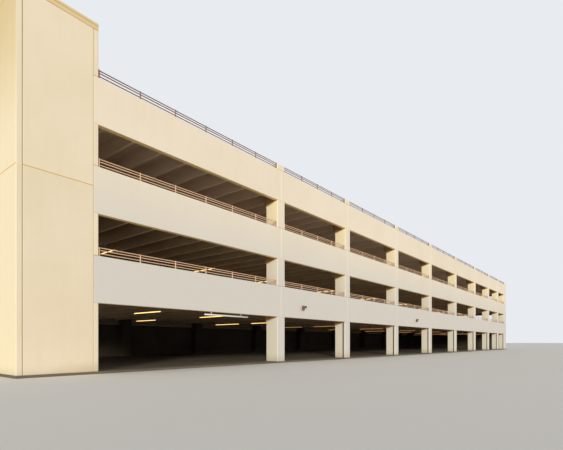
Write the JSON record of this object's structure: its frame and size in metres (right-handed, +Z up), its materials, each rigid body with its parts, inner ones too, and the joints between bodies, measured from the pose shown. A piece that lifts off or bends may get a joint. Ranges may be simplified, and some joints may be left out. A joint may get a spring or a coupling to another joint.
{
  "type": "scale model of an open precast concrete parking garage",
  "caption": "Open precast concrete parking garage at 1:10: storeys of spandrel panels on columns, double tee decks, guard rails, a plain stair tower and a swinging clearance bar",
  "frame": {"origin": "middle of the plan box at ground level", "axes": "+X along the street front away from the tower, +Y into the building, +Z up"},
  "size_m": [8.13, 1.907, 1.416],
  "materials": {
    "painted_concrete": "warm cream masonry paint on smooth precast concrete",
    "grey_concrete": "bare precast concrete, dulled by traffic",
    "rail_paint": "tan brown paint on steel",
    "bronze_fitting": "bronze brown enamel",
    "light_tube": "warm lit diffuser",
    "white_tube": "white plastic tube",
    "galvanised_bracket": "galvanised steel"
  },
  "bodies": {
    "building": {"ground_slab": "grey_concrete", "front_columns": "painted_concrete", "back_columns": "painted_concrete", "right_column": "painted_concrete", "level_2_front_spandrels": "painted_concrete", "level_2_back_spandrels": "painted_concrete", "level_2_left_spandrel": "painted_concrete", "level_2_right_spandrels": "painted_concrete", "level_3_front_spandrels": "painted_concrete", "level_3_back_spandrels": "painted_concrete", "level_3_left_spandrel": "painted_concrete", "level_3_right_spandrels": "painted_concrete", "roof_front_spandrels": "painted_concrete", "roof_back_spandrels": "painted_concrete", "roof_left_spandrel": "painted_concrete", "roof_right_spandrels": "painted_concrete", "level_2_double_tees": "grey_concrete", "level_3_double_tees": "grey_concrete", "roof_double_tees": "grey_concrete", "back_ground_walls": "painted_concrete", "right_ground_walls": "painted_concrete", "tower_front_wall": "painted_concrete", "tower_left_wall": "painted_concrete", "tower_right_wall": "painted_concrete", "tower_back_wall": "painted_concrete", "tower_back_lintels": "painted_concrete", "tower_back_ledges": "painted_concrete", "tower_floors": "grey_concrete", "tower_roof": "grey_concrete", "tower_coping": "painted_concrete", "front_guard_rails": "rail_paint", "front_rail_posts": "rail_paint", "back_guard_rails": "rail_paint", "back_rail_posts": "rail_paint", "left_guard_rails": "rail_paint", "left_rail_posts": "rail_paint", "right_guard_rails": "rail_paint", "right_rail_posts": "rail_paint", "clearance_bar_brackets": "galvanised_bracket", "wall_lights": "bronze_fitting", "strip_lights": "light_tube"},
    "clearance_bar": {"clearance_bar": "white_tube"}
  },
  "joints": [
    {"name": "clearance_bar_swing", "type": "hinge", "parent": "building", "child": "clearance_bar", "pos_m": [-3.0515, -0.9138, 0.2838], "axis": [1, 0, 0], "range_deg": [-40, 40]}
  ]
}
